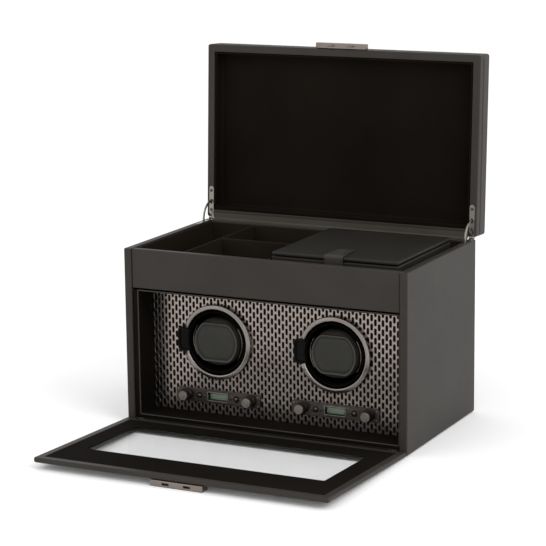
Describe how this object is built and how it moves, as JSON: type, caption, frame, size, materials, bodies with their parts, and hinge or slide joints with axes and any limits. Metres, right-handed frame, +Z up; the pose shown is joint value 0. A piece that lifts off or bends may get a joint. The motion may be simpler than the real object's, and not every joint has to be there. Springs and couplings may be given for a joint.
{
  "type": "watch winder box",
  "caption": "Leather-covered watch winder box with motor-driven drums, glazed drop-down door, hinged lid, storage deck and lift-out travel case.",
  "frame": {"origin": "middle of the cabinet's underside, on the table", "axes": "+X to the right seen from the front, +Y to the back, +Z up"},
  "size_m": [0.3434, 0.4375, 0.4152],
  "materials": {
    "cabinet_leather": "grained black-brown leatherette on board",
    "case_leather": "fine grained black leatherette",
    "cuff_leather": "stitched dark grey leatherette",
    "suede_lining": "black microsuede",
    "base_board": "suede-covered fibreboard",
    "perforated_bronze": "bronze powder coat, slotted",
    "bronze_fittings": "satin bronze",
    "steel_parts": "satin nickel",
    "belt_rubber": "matt",
    "door_glass": "clear with green edge",
    "display_glass": "grey-green liquid crystal",
    "board_laminate": "green circuit laminate",
    "black_plastic": "moulded, fine matt"
  },
  "bodies": {
    "cabinet": {"left_side_panel": "cabinet_leather", "right_side_panel": "cabinet_leather", "back_panel": "cabinet_leather", "bottom_panel": "base_board", "front_panel": "cabinet_leather", "storage_deck": "suede_lining", "niche_lining": "suede_lining", "perforated_plate": "perforated_bronze", "storage_dividers": "suede_lining", "power_jack": "black_plastic", "control_board": "board_laminate", "left_body_hinge_leaf": "steel_parts", "right_body_hinge_leaf": "steel_parts", "door_hinge_rod": "steel_parts", "left_bezel_ring": "bronze_fittings", "left_winder_housing": "black_plastic", "left_bearing": "steel_parts", "left_motor": "steel_parts", "left_drive_belt": "belt_rubber", "left_control_plate": "bronze_fittings", "left_display": "display_glass", "right_bezel_ring": "bronze_fittings", "right_winder_housing": "black_plastic", "right_bearing": "steel_parts", "right_motor": "steel_parts", "right_drive_belt": "belt_rubber", "right_control_plate": "bronze_fittings", "right_display": "display_glass"},
    "lid": {"lid_frame": "cabinet_leather", "lid_cover": "perforated_bronze", "lid_lining": "suede_lining", "lid_clasp": "bronze_fittings", "left_lid_hinge_leaf": "steel_parts", "right_lid_hinge_leaf": "steel_parts"},
    "stays": {"left_stay_arm": "steel_parts", "right_stay_arm": "steel_parts"},
    "door": {"door_frame": "cabinet_leather", "door_glass": "door_glass", "door_latch_plate": "bronze_fittings"},
    "left_rotor": {"left_drum": "black_plastic", "left_drum_pulley": "black_plastic"},
    "left_motor_rotor": {"left_motor_pulley": "black_plastic"},
    "left_cuff": {"left_cuff_core": "black_plastic", "left_cuff_pad": "cuff_leather"},
    "left_turns_knob_body": {"left_turns_knob": "bronze_fittings"},
    "left_direction_knob_body": {"left_direction_knob": "bronze_fittings"},
    "left_start_button_body": {"left_start_button": "black_plastic"},
    "left_mode_button_body": {"left_mode_button": "black_plastic"},
    "right_rotor": {"right_drum": "black_plastic", "right_drum_pulley": "black_plastic"},
    "right_motor_rotor": {"right_motor_pulley": "black_plastic"},
    "right_cuff": {"right_cuff_core": "black_plastic", "right_cuff_pad": "cuff_leather"},
    "right_turns_knob_body": {"right_turns_knob": "bronze_fittings"},
    "right_direction_knob_body": {"right_direction_knob": "bronze_fittings"},
    "right_start_button_body": {"right_start_button": "black_plastic"},
    "right_mode_button_body": {"right_mode_button": "black_plastic"},
    "travel_case": {"travel_case_tray": "case_leather"},
    "travel_case_lid_body": {"travel_case_lid": "case_leather", "travel_case_strap": "case_leather"}
  },
  "joints": [
    {"name": "lid_hinge", "type": "hinge", "parent": "cabinet", "child": "lid", "pos_m": [0, 0.1005, 0.2022], "axis": [-1, 0, 0], "range_deg": [-92.8, 0]},
    {"name": "stay_swing", "type": "hinge", "parent": "cabinet", "child": "stays", "pos_m": [0, 0.1005, 0.2022], "axis": [-1, 0, 0], "range_deg": [-46.4, 0]},
    {"name": "door_hinge", "type": "hinge", "parent": "cabinet", "child": "door", "pos_m": [0, -0.1028, 0.0033], "axis": [1, 0, 0], "range_deg": [-88, 0]},
    {"name": "left_drum_spin", "type": "hinge", "parent": "cabinet", "child": "left_rotor", "pos_m": [-0.0725, -0.017, 0.0955], "axis": [0, -1, 0], "continuous": true},
    {"name": "left_motor_spin", "type": "hinge", "parent": "cabinet", "child": "left_motor_rotor", "pos_m": [-0.1135, -0.017, 0.0668], "axis": [0, -1, 0], "continuous": true},
    {"name": "left_cuff_slide", "type": "slide", "parent": "left_rotor", "child": "left_cuff", "axis": [0, -1, 0], "range_m": [0, 0.07]},
    {"name": "left_turns_knob_turn", "type": "hinge", "parent": "cabinet", "child": "left_turns_knob_body", "pos_m": [-0.1125, -0.07, 0.0315], "axis": [0, -1, 0], "range_deg": [-270, 0]},
    {"name": "left_direction_knob_turn", "type": "hinge", "parent": "cabinet", "child": "left_direction_knob_body", "pos_m": [-0.0325, -0.07, 0.0315], "axis": [0, -1, 0], "range_deg": [-270, 0]},
    {"name": "left_start_button_press", "type": "slide", "parent": "cabinet", "child": "left_start_button_body", "axis": [0, 1, 0], "range_m": [0, 0.001], "stiffness_N_per_m": 400, "springref_m": -0.001},
    {"name": "left_mode_button_press", "type": "slide", "parent": "cabinet", "child": "left_mode_button_body", "axis": [0, 1, 0], "range_m": [0, 0.001], "stiffness_N_per_m": 400, "springref_m": -0.001},
    {"name": "right_drum_spin", "type": "hinge", "parent": "cabinet", "child": "right_rotor", "pos_m": [0.0725, -0.017, 0.0955], "axis": [0, -1, 0], "continuous": true},
    {"name": "right_motor_spin", "type": "hinge", "parent": "cabinet", "child": "right_motor_rotor", "pos_m": [0.0315, -0.017, 0.0668], "axis": [0, -1, 0], "continuous": true},
    {"name": "right_cuff_slide", "type": "slide", "parent": "right_rotor", "child": "right_cuff", "axis": [0, -1, 0], "range_m": [0, 0.07]},
    {"name": "right_turns_knob_turn", "type": "hinge", "parent": "cabinet", "child": "right_turns_knob_body", "pos_m": [0.0325, -0.07, 0.0315], "axis": [0, -1, 0], "range_deg": [-270, 0]},
    {"name": "right_direction_knob_turn", "type": "hinge", "parent": "cabinet", "child": "right_direction_knob_body", "pos_m": [0.1125, -0.07, 0.0315], "axis": [0, -1, 0], "range_deg": [-270, 0]},
    {"name": "right_start_button_press", "type": "slide", "parent": "cabinet", "child": "right_start_button_body", "axis": [0, 1, 0], "range_m": [0, 0.001], "stiffness_N_per_m": 400, "springref_m": -0.001},
    {"name": "right_mode_button_press", "type": "slide", "parent": "cabinet", "child": "right_mode_button_body", "axis": [0, 1, 0], "range_m": [0, 0.001], "stiffness_N_per_m": 400, "springref_m": -0.001},
    {"name": "travel_case_lift", "type": "slide", "parent": "cabinet", "child": "travel_case", "axis": [0, 0, 1], "range_m": [0, 0.05]},
    {"name": "travel_case_lid_hinge", "type": "hinge", "parent": "travel_case", "child": "travel_case_lid_body", "pos_m": [0, 0.0753, 0.2021], "axis": [-1, 0, 0], "range_deg": [0, 95]}
  ],
  "couplings": [
    {"joint": "stay_swing", "follows": "lid_hinge", "ratio": 0.5},
    {"joint": "left_motor_spin", "follows": "left_drum_spin", "ratio": 4},
    {"joint": "right_motor_spin", "follows": "right_drum_spin", "ratio": 4}
  ]
}
